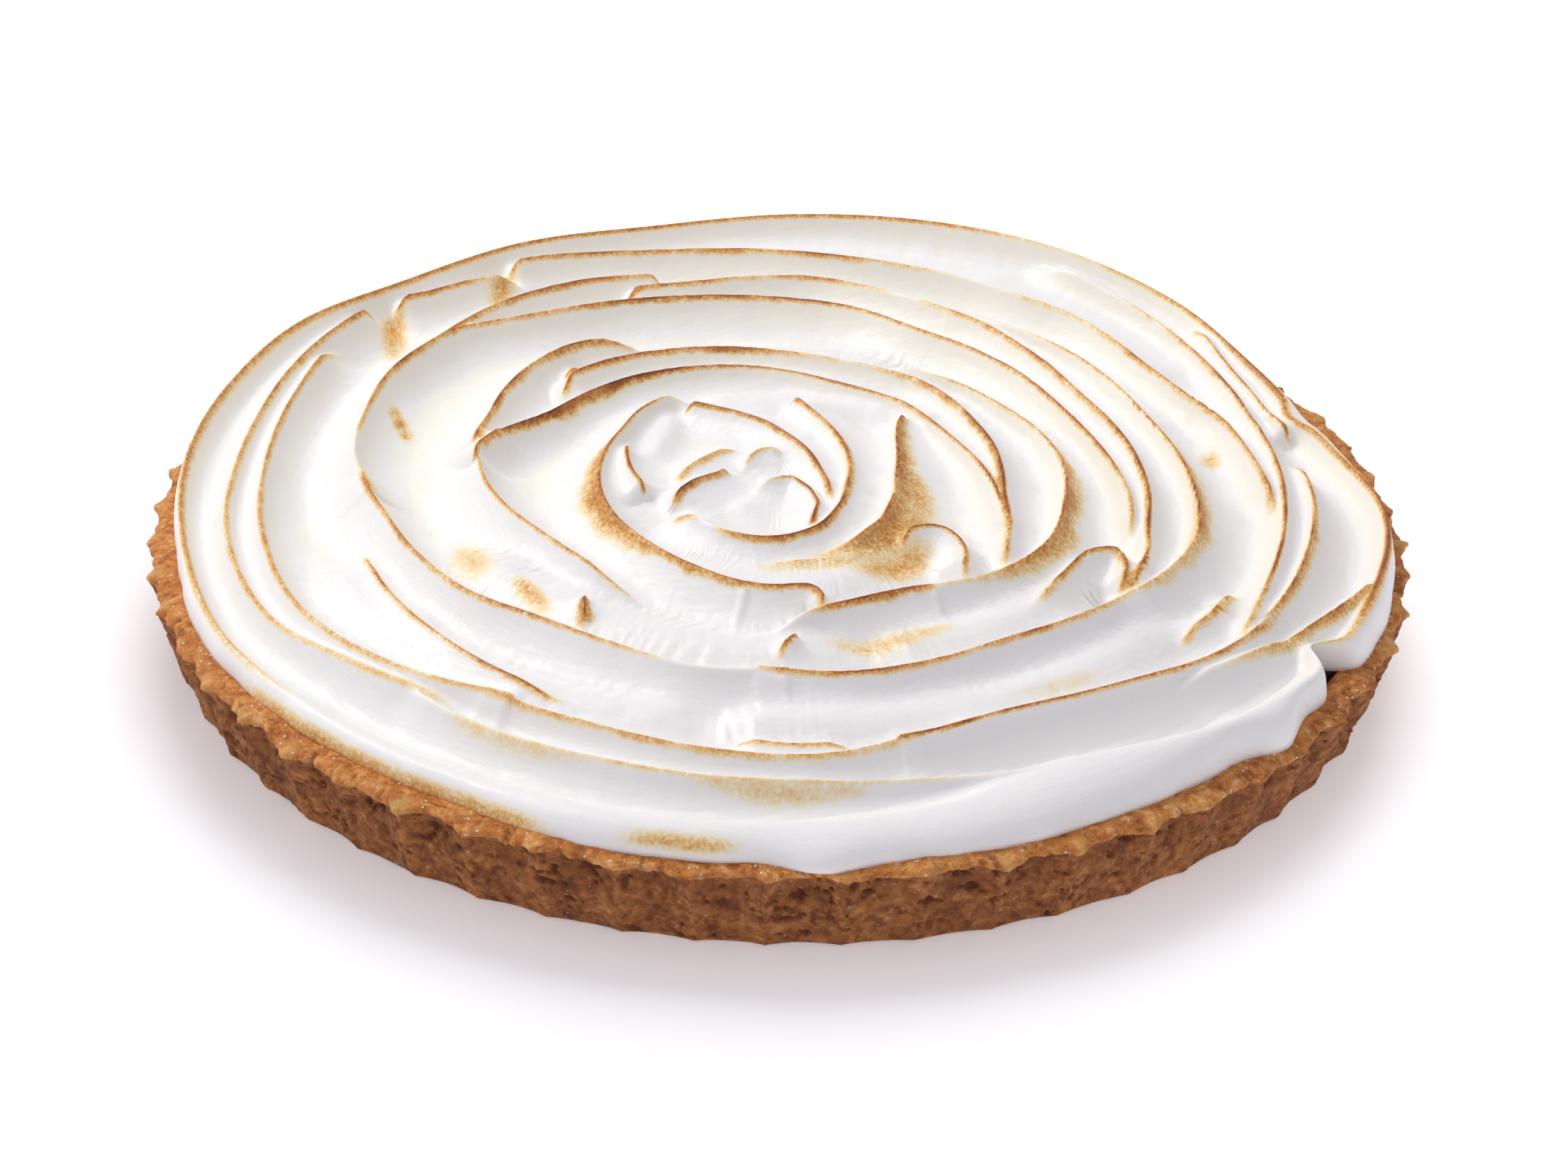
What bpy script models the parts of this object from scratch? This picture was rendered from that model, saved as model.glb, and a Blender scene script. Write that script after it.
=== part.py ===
"""A lemon meringue pie: a fluted shortcrust case filled to above its rim with spiral-ridged meringue."""

from math import pi

import bmesh
import bpy
import numpy as np

MM = 0.001

# Pastry case: the rim and base radii give the flare of the fluted wall.
RIM_OUTER_RADIUS = 135.0 * MM
RIM_WIDTH = 9.0 * MM
BASE_RADIUS = 129.0 * MM
CASE_HEIGHT = 20.7 * MM
FLOOR_THICKNESS = 5.0 * MM
BASE_EDGE_RADIUS = 1.2 * MM
RIM_EDGE_DROP = 1.3 * MM
RIM_DIP = 0.9 * MM
FLUTE_COUNT = 56
FLUTE_DEPTH = 1.6 * MM
BASE_FLUTE_DEPTH = 0.9 * MM
POINTS_PER_FLUTE = 4

# Meringue: a low mound whose crests lie on one smooth surface and whose grooves are cut below it.
GAP = 0.3 * MM
CENTRE_RISE = 17.0 * MM
SHOULDER_RISE = 12.0 * MM
SHOULDER_RADIUS = 95.0 * MM
GROOVE_DEPTH = 8.5 * MM
INNER_REACH = 11.0 * MM
OUTER_REACH = 15.0 * MM
CREST_ROUNDING = 0.5 * MM
END_FADE = 8.0
SLIGHT = 0.1
EDGE_BULGE = 1.0 * MM
CROWDING = 2.5
CROWDING_REACH = 2.0 * MM
TOP_RINGS = 46
SIDE_RINGS = 3
SECTORS = 72

# Rise of the meringue's outer edge above the rim, every 30 degrees round from +X.
EDGE_RISE = [7.0, 8.0, 14.0, 13.5, 12.0, 12.0, 10.0, 5.0, 4.0, 4.5, 4.0, 5.5]
# Radius of that edge's crest, and of its foot on the rim, at the same angles.
EDGE_RADIUS = [127.5, 123.5, 127.0, 126.0, 126.0, 127.5, 127.0, 127.0, 126.0, 127.5, 127.5, 122.0]
FOOT_RADIUS = [130.0, 127.0, 128.0, 128.0, 128.0, 128.0, 128.5, 128.8, 128.3, 131.5, 129.5, 129.0]

# Spiral ridges: start and end angle in degrees, then the radii in mm that the crest passes through,
# evenly spaced between the two.
RIDGES = [
    (142, 240, 121.0, 117.0, 116.0, 118.0, 114.0, 107.5),
    (151, 236, 114.5, 110.0, 111.0, 110.5, 104.5),
    (236, 362, 104.5, 105.5, 103.5, 103.5, 110.0, 114.5),
    (282, 322, 111.5, 113.0, 117.5, 129.0),
    (333, 401, 108.0, 107.5, 112.0, 117.5),
    (354, 424, 105.5, 102.0, 98.5, 104.0),
    (64, 124, 104.5, 106.5, 110.5, 119.0),
    (129, 139, 116.0, 117.5, 120.5),
    (108, 178, 99.5, 101.5, 97.5, 92.5),
    (74, 114, 90.0, 95.5, 94.0, 93.5),
    (337, 401, 88.0, 89.0, 84.5, 87.0),
    (327, 424, 84.0, 78.5, 75.0, 76.5, 87.0),
    (350, 420, 75.5, 68.5, 67.5, 71.0),
    (60, 142, 71.0, 79.5, 85.0, 98.5),
    (183, 254, 89.0, 84.5, 82.0, 84.0),
    (268, 325, 82.5, 83.5, 82.5, 86.0),
    (124, 174, 64.0, 70.5, 68.0, 65.5),
    (320, 424, 59.0, 48.0, 45.0, 46.5),
    (64, 146, 46.5, 51.0, 58.0, 60.5),
    (315, 403, 64.0, 61.5, 57.5, 53.0),
    (335, 420, 49.5, 40.0, 36.0, 36.0),
    (60, 177, 36.0, 39.0, 47.0, 54.0, 66.0),
    (184, 241, 65.0, 62.0, 60.5, 61.5),
    (132, 277, 36.0, 36.5, 42.0, 50.0, 55.0),
    (277, 302, 64.0, 61.0, 61.0),
    (313, 333, 73.0, 72.0, 73.0),
    (296, 397, 38.0, 33.0, 27.0, 33.0),
    (260, 446, 37.0, 24.0, 16.0, 15.5, 27.0),
    (300, 492, 21.0, 8.0, 5.5, 11.0, 32.0),
    (183, 213, 12.5, 16.0, 26.5),
    (258, 290, 15.5, 13.5, 20.5),
]


def through(values, share):
    """The smooth curve through evenly spaced values, at a share from 0 to 1 of its length."""
    values = np.array(values)
    place = np.clip(share, 0, 1) * (len(values) - 1)
    left = np.minimum(place.astype(int), len(values) - 2)
    part = place - left
    before, after = values[np.maximum(left - 1, 0)], values[np.minimum(left + 2, len(values) - 1)]
    start, end = values[left], values[left + 1]
    bend = 2 * before - 5 * start + 4 * end - after
    twist = 3 * (start - end) + after - before
    return start + 0.5 * part * (end - before + part * (bend + part * twist))


def around(values, angle):
    """The smooth closed curve through values spaced evenly round the pie, at an angle in degrees."""
    count = len(values)
    looped = [values[i % count] for i in range(-1, count + 2)]
    return through(looped, (angle % 360 / 360 * count + 1) / (count + 2))


def flute(angle):
    """How far the wall stands in from its cusps at an angle in degrees: 0 on a cusp, 1 in a hollow."""
    return np.abs(np.sin(np.radians(angle) * FLUTE_COUNT / 2)) ** 0.8


def rim_dip(angle):
    """How far the crumbly rim dips below its full height at an angle in degrees."""
    turn = np.radians(angle)
    waves = np.sin(5 * turn + 1) + np.sin(13 * turn + 2) + np.sin(31 * turn)
    return RIM_DIP * (3 - waves) / 6


def clear_scene():
    for item in list(bpy.data.objects):
        bpy.data.objects.remove(item)


def material(name, colour, roughness):
    made = bpy.data.materials.new(name)
    made.use_nodes = True
    shader = made.node_tree.nodes["Principled BSDF"]
    shader.inputs["Base Color"].default_value = (*colour, 1)
    shader.inputs["Roughness"].default_value = roughness
    shader.inputs["Metallic"].default_value = 0
    made.diffuse_color = (*colour, 1)
    return made


def turned(name, profile, steps, collection):
    """A solid turned about Z from a profile of (radius, height) that starts and ends on the axis."""
    mesh = bpy.data.meshes.new(name)
    edges = [(i, i + 1) for i in range(len(profile) - 1)]
    mesh.from_pydata([(radius, 0, height) for radius, height in profile], edges, [])
    item = bpy.data.objects.new(name, mesh)
    collection.objects.link(item)
    screw = item.modifiers.new("Turn", "SCREW")
    screw.axis = "Z"
    screw.steps = screw.render_steps = steps
    screw.use_merge_vertices = True
    screw.merge_threshold = 0.00001
    screw.use_smooth_shade = True
    bpy.context.view_layer.update()
    solid = bpy.data.meshes.new_from_object(item.evaluated_get(bpy.context.evaluated_depsgraph_get()))
    item.modifiers.clear()
    item.data = solid
    bpy.data.meshes.remove(mesh)
    solid.name = name
    return item


def reshape(item, move):
    """Moves every point of a turned solid: move takes radii, angles in degrees and heights."""
    mesh = item.data
    points = np.empty(len(mesh.vertices) * 3, np.float32)
    mesh.vertices.foreach_get("co", points)
    points = points.reshape(-1, 3).astype(float)
    angle = np.degrees(np.arctan2(points[:, 1], points[:, 0])) % 360
    radius, height = move(np.hypot(points[:, 0], points[:, 1]), angle, points[:, 2])
    turn = np.radians(angle)
    points = np.stack([radius * np.cos(turn), radius * np.sin(turn), height], axis=1)
    mesh.vertices.foreach_set("co", points.astype(np.float32).ravel())
    tidy = bmesh.new()
    tidy.from_mesh(mesh)
    bmesh.ops.recalc_face_normals(tidy, faces=tidy.faces)
    tidy.to_mesh(mesh)
    tidy.free()


def make_case(collection):
    rim_inner = RIM_OUTER_RADIUS - RIM_WIDTH
    inner_foot = BASE_RADIUS - RIM_WIDTH
    rim_edge = CASE_HEIGHT - RIM_EDGE_DROP
    profile = [
        (0, FLOOR_THICKNESS),
        (inner_foot, FLOOR_THICKNESS),
        (rim_inner, CASE_HEIGHT),
        (RIM_OUTER_RADIUS - RIM_EDGE_DROP, CASE_HEIGHT),
        (RIM_OUTER_RADIUS, rim_edge),
        (BASE_RADIUS, BASE_EDGE_RADIUS),
        (BASE_RADIUS - BASE_EDGE_RADIUS, 0),
        (0, 0),
    ]
    case = turned("pastry_case", profile, FLUTE_COUNT * POINTS_PER_FLUTE, collection)

    def flute_wall(radius, angle, height):
        wall = radius > BASE_RADIUS - 2 * BASE_EDGE_RADIUS
        wall &= (radius > rim_inner + MM) | (height < rim_edge - MM)
        depth = BASE_FLUTE_DEPTH + (FLUTE_DEPTH - BASE_FLUTE_DEPTH) * height / CASE_HEIGHT
        radius = np.where(wall, radius - depth * flute(angle), radius)
        return radius, np.where(height > rim_edge - MM, height - rim_dip(angle), height)

    reshape(case, flute_wall)
    return case


def mound_rise(radius, angle):
    """The smooth surface that the crests lie on, above the rim."""
    dome = CENTRE_RISE + (SHOULDER_RISE - CENTRE_RISE) * np.minimum(radius / SHOULDER_RADIUS, 1) ** 2
    reach = around(EDGE_RADIUS, angle) * MM - SHOULDER_RADIUS
    share = np.clip((radius - SHOULDER_RADIUS) / reach, 0, 1)
    blend = share * share * (3 - 2 * share)
    return dome + (around(EDGE_RISE, angle) * MM - SHOULDER_RISE) * blend


def crests_at(angle):
    """Radius of each ridge's crest at the given angles, with its strength: 0 beyond its ends."""
    found = [(around(EDGE_RADIUS, angle) * MM, np.ones_like(angle))]
    for start, end, *radii in RIDGES:
        along = (angle - start) % 360
        share = along / (end - start)
        fade = np.clip(np.minimum(along, end - start - along) / END_FADE, 0, 1)
        found.append((through(radii, share) * MM, np.where(share <= 1, fade, 0)))
    return found


def groove(radius, angle):
    """How far the surface lies below the mound: nothing on a crest, the full depth far from any."""
    closeness = np.zeros_like(radius)
    for crest, strength in crests_at(angle):
        offset = radius - crest
        reach = np.where(offset < 0, INNER_REACH, OUTER_REACH)
        distance = np.sqrt(offset ** 2 + CREST_ROUNDING ** 2) - CREST_ROUNDING
        near = strength * np.clip(1 - distance / reach, 0, 1) ** 1.8
        closeness = np.maximum(closeness, near)
    return GROOVE_DEPTH * (1 - closeness)


def ring_radii(angle):
    """Radii of the top's rings at one angle: drawn together at the crests, with one on each crest."""
    edge = around(EDGE_RADIUS, angle) * MM
    radii = np.linspace(0, edge, 400)
    density = np.ones_like(radii)
    crests = [(crest, strength) for crest, strength in crests_at(angle) if strength > SLIGHT]
    for crest, strength in crests:
        density += CROWDING * strength * np.exp(-((radii - crest) / CROWDING_REACH) ** 2)
    total = np.cumsum(density) - density[0]
    rings = np.interp(np.linspace(0, total[-1], TOP_RINGS + 1), total, radii)
    for crest, strength in crests:
        nearest = 1 + np.argmin(np.abs(rings[1:] - crest))
        rings[nearest] = crest
    return rings


def cut_along_crests(item):
    """Cuts each four-sided face in two along its higher diagonal, so that a crest stays whole."""
    mesh = bmesh.new()
    mesh.from_mesh(item.data)
    for face in [face for face in mesh.faces if len(face.verts) == 4]:
        a, b, c, d = face.verts
        ends = (a, c) if a.co.z + c.co.z > b.co.z + d.co.z else (b, d)
        bmesh.utils.face_split(face, *ends)
    mesh.to_mesh(item.data)
    mesh.free()


def make_meringue(collection):
    rim_inner = RIM_OUTER_RADIUS - RIM_WIDTH - GAP
    inner_foot = BASE_RADIUS - RIM_WIDTH - GAP
    bottom = FLOOR_THICKNESS + GAP
    rim_top = CASE_HEIGHT + GAP
    # Rows of the turned blank are numbered by height: 1 is the top, 0 the foot, -1 the lip, -2 the floor.
    profile = [(i / TOP_RINGS, 1) for i in range(TOP_RINGS + 1)]
    profile += [(1, 1 - i / SIDE_RINGS) for i in range(1, SIDE_RINGS + 1)]
    profile += [(1, -1), (1, -2), (0, -2)]
    meringue = turned("meringue", profile, SECTORS, collection)
    rings = np.array([ring_radii(np.array(360 * i / SECTORS)) for i in range(SECTORS)])

    def swirl(share, angle, row):
        sector = np.round(angle / 360 * SECTORS).astype(int) % SECTORS
        on_top = rings[sector, np.round(share * TOP_RINGS).astype(int)]
        top = CASE_HEIGHT + mound_rise(on_top, angle) - groove(on_top, angle)
        edge = around(EDGE_RADIUS, angle) * MM
        rise = around(EDGE_RISE, angle) * MM
        foot = np.maximum(around(FOOT_RADIUS, angle) * MM, rim_inner)
        side = foot + (edge - foot) * row ** 2 + EDGE_BULGE * np.sin(pi * np.clip(row, 0, 1))
        radius = np.select([row > 0.99, row > -0.5, row > -1.5, share > 0.5],
                           [on_top, side, rim_inner, inner_foot], 0)
        height = np.select([row > 0.99, row > -0.5, row > -1.5],
                           [top, rim_top + (rise - GAP) * row, rim_top], bottom)
        return radius, height

    reshape(meringue, swirl)
    cut_along_crests(meringue)
    return meringue


def main():
    clear_scene()
    pie = bpy.data.collections.new("lemon_meringue_pie")
    bpy.context.scene.collection.children.link(pie)
    case = make_case(pie)
    case.data.materials.clear()
    case.data.materials.append(material("baked_pastry", (0.42, 0.19, 0.07), 0.8))
    meringue = make_meringue(pie)
    meringue.data.materials.clear()
    meringue.data.materials.append(material("toasted_meringue", (0.93, 0.91, 0.86), 0.45))


main()
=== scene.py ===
from math import cos, pi, radians, sin

import bpy
import numpy as np
from mathutils import Matrix, Vector, noise


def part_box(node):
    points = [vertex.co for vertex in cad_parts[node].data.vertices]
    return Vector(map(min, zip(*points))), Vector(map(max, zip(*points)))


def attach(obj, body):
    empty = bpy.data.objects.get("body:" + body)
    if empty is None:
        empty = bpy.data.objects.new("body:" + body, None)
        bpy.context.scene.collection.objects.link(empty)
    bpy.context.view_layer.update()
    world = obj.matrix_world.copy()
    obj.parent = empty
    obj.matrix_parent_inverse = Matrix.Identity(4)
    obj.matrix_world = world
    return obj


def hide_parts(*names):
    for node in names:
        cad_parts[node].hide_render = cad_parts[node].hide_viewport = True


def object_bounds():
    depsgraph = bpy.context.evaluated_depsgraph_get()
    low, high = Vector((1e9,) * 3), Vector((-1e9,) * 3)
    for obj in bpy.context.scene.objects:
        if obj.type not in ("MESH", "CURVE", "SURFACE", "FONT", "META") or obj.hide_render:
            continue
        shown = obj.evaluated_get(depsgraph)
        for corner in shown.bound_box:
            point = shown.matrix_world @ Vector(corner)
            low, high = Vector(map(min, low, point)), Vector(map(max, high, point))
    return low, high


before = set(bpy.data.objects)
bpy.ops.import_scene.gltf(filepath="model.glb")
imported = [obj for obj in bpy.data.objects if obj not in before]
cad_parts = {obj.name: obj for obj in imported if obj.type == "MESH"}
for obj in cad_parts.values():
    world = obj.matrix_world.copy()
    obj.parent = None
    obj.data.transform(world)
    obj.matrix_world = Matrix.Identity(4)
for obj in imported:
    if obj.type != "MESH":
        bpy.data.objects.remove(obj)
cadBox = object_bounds()

mm = 0.001
scene = bpy.context.scene
caseLow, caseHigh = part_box("pastry_case")
rimTop = caseHigh[2]  # the case's full height
rimRadius = caseHigh[0]  # and its radius out to the flutes' cusps
pieTop = cadBox[1][2]


def through(values, share):
    # smooth curve through evenly spaced values, share runs from 0 to 1
    values = np.array(values, float)
    if len(values) == 1:
        return np.full_like(np.asarray(share, float), values[0])
    place = np.clip(share, 0, 1) * (len(values) - 1)
    left = np.minimum(place.astype(int), len(values) - 2)
    part = place - left
    before, after = values[np.maximum(left - 1, 0)], values[np.minimum(left + 2, len(values) - 1)]
    start, end = values[left], values[left + 1]
    bend = 2 * before - 5 * start + 4 * end - after
    twist = 3 * (start - end) + after - before
    return start + 0.5 * part * (end - before + part * (bend + part * twist))


def around(values, angle):
    # smooth closed curve through values spaced evenly round the pie
    count = len(values)
    looped = [values[i % count] for i in range(-1, count + 2)]
    return through(looped, (np.asarray(angle) % 360 / 360 * count + 1) / (count + 2))


def smooth(low, high, value):
    share = np.clip((value - low) / (high - low), 0, 1)
    return share * share * (3 - 2 * share)


def cloudy(points, size, octaves=3, seed=0.0):
    # soft noise from about -1 to 1 with features of the given size
    offset = Vector((seed, seed * 0.7, seed * 1.3))
    return np.array([noise.fractal(Vector(point) / size + offset, 1.0, 2.0, octaves) for point in points])


def lattice(name, points, rows, columns, attributes):
    # closed skin from rows of points that each run once round Z; the first and last rows are single points
    faces = [(0, 1 + j, 1 + (j + 1) % columns) for j in range(columns)]
    for i in range(rows - 1):
        start = 1 + i * columns
        for j in range(columns):
            k = (j + 1) % columns
            faces.append((start + j, start + columns + j, start + columns + k, start + k))
    start = 1 + (rows - 1) * columns
    faces += [(start + (j + 1) % columns, start + j, start + columns) for j in range(columns)]
    mesh = bpy.data.meshes.new(name)
    mesh.from_pydata(points.tolist(), [], faces)
    for key, values in attributes.items():
        layer = mesh.attributes.new(key, "FLOAT", "POINT")
        layer.data.foreach_set("value", np.asarray(values, np.float32))
    mesh.shade_smooth()
    item = bpy.data.objects.new(name, mesh)
    scene.collection.objects.link(item)
    return item


class Socket:
    # a socket that adds Math nodes when it is used in a sum
    def __init__(self, tree, end):
        self.tree, self.end = tree, end

    def maths(self, operation, *values, clamp=False):
        return self.tree.node("ShaderNodeMath", dict(operation=operation, use_clamp=clamp), values)

    def __add__(self, other):
        return self.maths("ADD", self, other)

    def __radd__(self, other):
        return self.maths("ADD", other, self)

    def __sub__(self, other):
        return self.maths("SUBTRACT", self, other)

    def __rsub__(self, other):
        return self.maths("SUBTRACT", other, self)

    def __mul__(self, other):
        return self.maths("MULTIPLY", self, other)

    def __rmul__(self, other):
        return self.maths("MULTIPLY", other, self)

    def __pow__(self, other):
        return self.maths("POWER", self, other)

    def ranged(self, low, high):
        # 0 at low and 1 at high, kept between the two
        return self.maths("MULTIPLY", self - low, 1 / (high - low), clamp=True)


class Shader:
    def __init__(self, name, roughness, **constants):
        self.material = bpy.data.materials.new(name)
        self.material.use_nodes = True
        self.nodes = self.material.node_tree.nodes
        self.links = self.material.node_tree.links
        self.main = self.nodes["Principled BSDF"]
        self.main.inputs["Roughness"].default_value = roughness
        for key, value in constants.items():
            self.main.inputs[key.replace("_", " ")].default_value = value

    def node(self, kind, settings, values, output=0):
        made = self.nodes.new(kind)
        for key, value in settings.items():
            if key == "stops":
                ramp = made.color_ramp
                while len(ramp.elements) < len(value):
                    ramp.elements.new(1)
                for element, (place, colour) in zip(ramp.elements, value):
                    element.position, element.color = place, (*colour, 1)
            else:
                setattr(made, key, value)
        pairs = values.items() if isinstance(values, dict) else enumerate(values)
        for key, value in pairs:
            self.put(made.inputs[key], value)
        return Socket(self, made.outputs[output])

    def put(self, slot, value):
        if isinstance(value, Socket):
            self.links.new(value.end, slot)
        else:
            slot.default_value = value

    def attribute(self, name):
        return self.node("ShaderNodeAttribute", dict(attribute_name=name), {}, "Fac")

    def place(self):
        return self.node("ShaderNodeTexCoord", {}, {}, "Object")

    def noise(self, size, detail=3, roughness=0.5, warp=0.0, where=None):
        values = {"Vector": where or self.place(), "Scale": 1 / size, "Detail": detail,
                  "Roughness": roughness, "Distortion": warp}
        return self.node("ShaderNodeTexNoise", {}, values, "Fac")

    def ramp(self, factor, stops):
        return self.node("ShaderNodeValToRGB", dict(stops=stops), {"Fac": factor}, "Color")

    def mix(self, factor, first, second, blend="MIX"):
        colours = [value if isinstance(value, Socket) else (*value, 1) for value in (first, second)]
        settings = dict(data_type="RGBA", blend_type=blend)
        return self.node("ShaderNodeMix", settings, {0: factor, 6: colours[0], 7: colours[1]}, 2)

    def feed(self, name, value):
        self.put(self.main.inputs[name], value)

    def bump(self, height, distance, strength):
        values = {"Height": height, "Distance": distance, "Strength": strength}
        return self.node("ShaderNodeBump", {}, values, "Normal")


def byte(red, green, blue):
    # an sRGB colour out of 255 as linear values
    return tuple((v / 12.92 if v <= 0.04045 else ((v + 0.055) / 1.055) ** 2.4)
                 for v in (red / 255, green / 255, blue / 255))


# how far off the camera stands in metres, how high it looks down in degrees, its roll and its lens
view = dict(distance=0.8467, height=30.46, roll=1.64, lens=89.5, sensor=36, shift=(0.0040, 0.0091))


def makeCamera():
    rise = radians(view["height"])
    data = bpy.data.cameras.new("camera")
    data.lens, data.sensor_width = view["lens"], view["sensor"]
    data.shift_x, data.shift_y = view["shift"]
    camera = bpy.data.objects.new("camera", data)
    scene.collection.objects.link(camera)
    camera.location = (0, -view["distance"] * cos(rise), view["distance"] * sin(rise))
    turn = (-camera.location).to_track_quat("-Z", "Y").to_matrix()
    camera.rotation_euler = (turn @ Matrix.Rotation(radians(view["roll"]), 3, "Z")).to_euler()
    scene.camera = camera


lamps = dict(
    # place, size, watts, colour and whether it falls on the floor; the pie's own key comes from farther left
    key=((-0.94, 0.67, 1.38), 0.7, 19.0, (1.0, 0.985, 0.93), False),
    back=((0.03, 1.20, 1.20), 1.2, 18.0, (1.0, 0.985, 0.96), True),
)
sky = dict(colour=(0.95, 0.925, 1.0), strength=0.57)


def makeLights(floor):
    # each lamp falls either on the floor alone or on everything else
    for name, (place, size, watts, colour, onFloor) in lamps.items():
        data = bpy.data.lights.new(name, "AREA")
        data.size, data.energy, data.color = size, watts, colour
        lamp = bpy.data.objects.new(name, data)
        scene.collection.objects.link(lamp)
        lamp.location = place
        lamp.rotation_euler = (-lamp.location).to_track_quat("-Z", "Y").to_euler()
        lit = bpy.data.collections.new(name + "_lit")
        lit.objects.link(floor)
        lit.collection_objects[0].light_linking.link_state = "INCLUDE" if onFloor else "EXCLUDE"
        lamp.light_linking.receiver_collection = lit
    world = bpy.data.worlds.new("studio")
    world.use_nodes = True
    background = world.node_tree.nodes["Background"]
    background.inputs["Color"].default_value = (*sky["colour"], 1)
    background.inputs["Strength"].default_value = sky["strength"]
    scene.world = world
    scene.view_settings.view_transform = "Standard"


surface = dict(reach=30, colour=(0.93, 0.92, 0.93, 1), roughness=0.6, glow=(1, 0.99, 1, 1), glowStrength=0.28)


def makeFloor():
    size = surface["reach"]
    mesh = bpy.data.meshes.new("floor")
    corners = [(-size, -size, 0), (size, -size, 0), (size, size, 0), (-size, size, 0)]
    mesh.from_pydata(corners, [], [(0, 1, 2, 3)])
    floor = bpy.data.objects.new("floor", mesh)
    scene.collection.objects.link(floor)
    shader = Shader("pale_floor", surface["roughness"])
    shader.feed("Base Color", surface["colour"])
    shader.feed("Emission Color", surface["glow"])
    shader.feed("Emission Strength", surface["glowStrength"])
    mesh.materials.append(shader.material)
    return floor


pastry = dict(
    baseRadius=129.0 * mm, rimWidth=9.0 * mm, floor=5.0 * mm, wallFoot=1.2 * mm, crown=1.5 * mm,
    columns=1344, wallRows=34, rimRows=18,
    # flutes: their depth at the foot and at the rim, how round they are, how many degrees a cusp wanders and how
    # much the depth varies
    flutes=56, fluteDepth=(1.1 * mm, 2.3 * mm), fluteRound=0.75, fluteWander=0.7, fluteUneven=0.35,
    # the shaded hollow in each flute, a little way below the rim
    hollowDepth=1.1 * mm, hollowDrop=5.4 * mm, hollowHeight=3.2 * mm,
    # the rim's torn edge: how far down it hangs, how much it fills the flutes, its step, its dips and its flakes
    lipDrop=(0.6 * mm, 2.2 * mm), lipKeep=0.5, lipInset=0.55 * mm, lipSag=0.5 * mm, rimDip=1.1 * mm, flake=0.9 * mm,
    # relief: the size of each kind and how deep it is, and how much of it the rim keeps
    lumps=(4.5 * mm, 0.36 * mm), grains=(1.5 * mm, 0.24 * mm), pits=(2.4 * mm, 1.0 * mm), tears=(2.6, 0.8 * mm),
    patches=9 * mm, rimKeep=0.4,
    # the case baked a little out of round: how far, at which angle and over how many degrees
    bulge=1.8 * mm, bulgeAngle=27, bulgeReach=10,
)
crust = dict(
    roughness=0.78, specular=0.4, crumb=1.25 * mm, bend=1.3 * mm, bendReach=1.1 * mm, crystal=1.7 * mm,
    broad=8 * mm, blotch=2.3 * mm, fine=0.6 * mm, bump=0.55 * mm,
    # the hollow colour is the crust's darker tone in the flute hollows, deepened with painted shade under the lip
    # the pit colour is painted shade inside the pits and tears
    dark=(96, 46, 18), hollow=(112, 62, 26), pit=(92, 42, 14), flake=(238, 190, 112), sugar=(246, 222, 198),
)


def caseProfile():
    # (radius, height, rim share, wall share) from inside the floor, over the rim and down to the underside
    inner = rimRadius - pastry["rimWidth"]
    rows = [(pastry["baseRadius"] - pastry["rimWidth"], pastry["floor"], 0, 0)]
    for i in range(1, 4):
        share = i / 4
        height = pastry["floor"] + (rimTop - pastry["floor"]) * share
        rows.append((rows[0][0] + (inner - rows[0][0]) * share, height, 0, 0))
    for i in range(pastry["rimRows"] + 1):
        share = i / pastry["rimRows"]
        turn = pi * share
        radius = inner + pastry["rimWidth"] * (0.5 - 0.5 * cos(turn) * abs(cos(turn)) ** -0.35)
        height = rimTop - pastry["crown"] * (1 - sin(turn) ** 0.6)
        rows.append((radius, height, smooth(0, 0.08, share), 0))
    top = rows[-1][1]
    for i in range(1, pastry["wallRows"] + 1):
        share = i / pastry["wallRows"]
        height = top + (pastry["wallFoot"] - top) * share
        radius = rimRadius + (pastry["baseRadius"] - rimRadius) * (rimTop - height) / rimTop
        rows.append((radius, height, 0, 1))
    for turn in (0.35, 0.7, 1):
        bend = turn * pi / 2
        foot = pastry["wallFoot"]
        rows.append((pastry["baseRadius"] - foot * (1 - cos(bend)), foot * (1 - sin(bend)), 0, 1))
    for share in (0.96, 0.85, 0.6, 0.3):
        rows.append((pastry["baseRadius"] * share, 0, 0, 0))
    return np.array(rows, float)


def fluteMarks(angle):
    # for each column: its flute, 0 on a cusp and 1 between two, the flute's own depth, and the rim's waves, torn
    # edge and flakes
    ring = np.stack([np.cos(np.radians(angle)), np.sin(np.radians(angle)), 0 * angle], axis=1)
    wander = cloudy(ring * 6, 1, 2, 3.1)
    swing = np.radians(angle + pastry["fluteWander"] * wander) * pastry["flutes"] / 2
    flute = np.abs(np.sin(swing)) ** pastry["fluteRound"]
    deep = 1 + pastry["fluteUneven"] * cloudy(ring * 9, 1, 2, 7.7)
    waves = np.clip(0.5 + 0.6 * cloudy(ring * 8, 1, 4, 1.4), 0, 1)
    ragged = np.clip(0.5 + 0.9 * cloudy(ring * 34, 1, 3, 5.2), 0, 1)
    flakes = (1 - flute) ** 1.6 * smooth(-0.15, 0.35, cloudy(ring * 21, 1, 2, 2.6))
    return flute, deep, waves, ragged, flakes


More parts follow.
